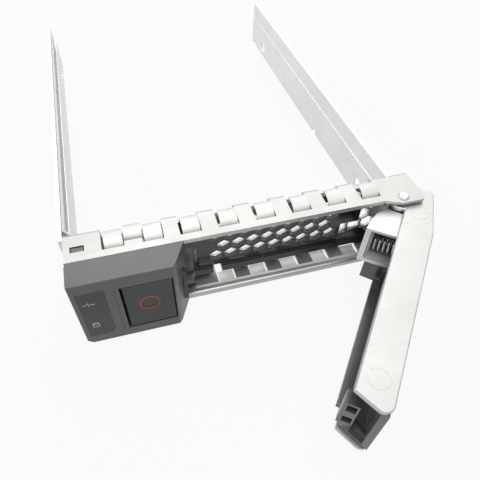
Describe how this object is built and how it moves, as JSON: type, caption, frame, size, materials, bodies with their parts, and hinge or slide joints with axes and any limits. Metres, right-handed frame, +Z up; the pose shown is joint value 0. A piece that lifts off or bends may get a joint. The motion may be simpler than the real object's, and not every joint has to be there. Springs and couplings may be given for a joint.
{
  "type": "hot-swap drive carrier",
  "caption": "Open-frame sliding carrier for a small disk drive: sheet rails behind a folded front channel with spring fingers, latch button and a swing-out handle.",
  "frame": {"origin": "middle of the bounding box's base with the handle at its rest pose", "axes": "+X along the front from the latch housing to the handle's pivot, +Y back along the rails, +Z up"},
  "size_m": [0.0784, 0.1478, 0.021],
  "materials": {
    "channel_steel": "bright stamped sheet",
    "rail_steel": "satin zinc sheet",
    "rivet_steel": "plain",
    "finger_steel": "bright spring steel",
    "grille_plastic": "matte",
    "bezel_plastic": "fine texture",
    "window_plastic": "smooth",
    "light_pipe": "clear moulding",
    "spring_steel": "drawn wire",
    "button_plastic": "fine texture",
    "ring_paint": "printed ring",
    "catch_plastic": "matte",
    "handle_steel": "bright plate",
    "handle_plastic": "fine texture",
    "block_metal": "cast, satin"
  },
  "bodies": {
    "carrier": {"front_channel": "channel_steel", "left_rail": "rail_steel", "right_rail": "rail_steel", "rail_rivets": "rivet_steel", "top_finger_strip": "finger_steel", "bottom_finger_strip": "finger_steel", "front_grille": "grille_plastic", "bezel_housing": "bezel_plastic", "indicator_window": "window_plastic", "activity_light_pipe": "light_pipe", "status_light_pipe": "light_pipe", "button_spring": "spring_steel", "catch_spring": "spring_steel", "spring_plate": "grille_plastic", "pivot_pin": "rivet_steel"},
    "button": {"release_button": "button_plastic", "button_ring": "ring_paint"},
    "catch": {"latch_catch": "catch_plastic"},
    "handle": {"handle_top_plate": "handle_steel", "handle_bottom_plate": "handle_steel", "handle_body": "handle_plastic", "handle_claw": "handle_plastic", "handle_pegs": "handle_steel", "kick_spring": "spring_steel"},
    "kick_out": {"kick_block": "block_metal", "kick_cup": "handle_plastic"}
  },
  "joints": [
    {"name": "handle_hinge", "type": "hinge", "parent": "carrier", "child": "handle", "pos_m": [0.03165, -0.03263, 0.01052], "axis": [0, 0, 1], "range_deg": [-51, 34]},
    {"name": "kick_out_slide", "type": "slide", "parent": "handle", "child": "kick_out", "axis": [-0.7771, 0.6293, 0], "range_m": [-0.0012, 0], "stiffness_N_per_m": 600, "springref_m": 0.003, "deforming": ["kick_spring"]},
    {"name": "button_slide", "type": "slide", "parent": "carrier", "child": "button", "axis": [0, 1, 0], "range_m": [0, 0.001], "stiffness_N_per_m": 500, "springref_m": -0.001, "deforming": ["button_spring"]},
    {"name": "catch_slide", "type": "slide", "parent": "carrier", "child": "catch", "axis": [1, 0, 0], "range_m": [-0.0012, 0], "deforming": ["catch_spring"]}
  ],
  "couplings": [
    {"joint": "catch_slide", "follows": "button_slide", "ratio": -1.2}
  ]
}
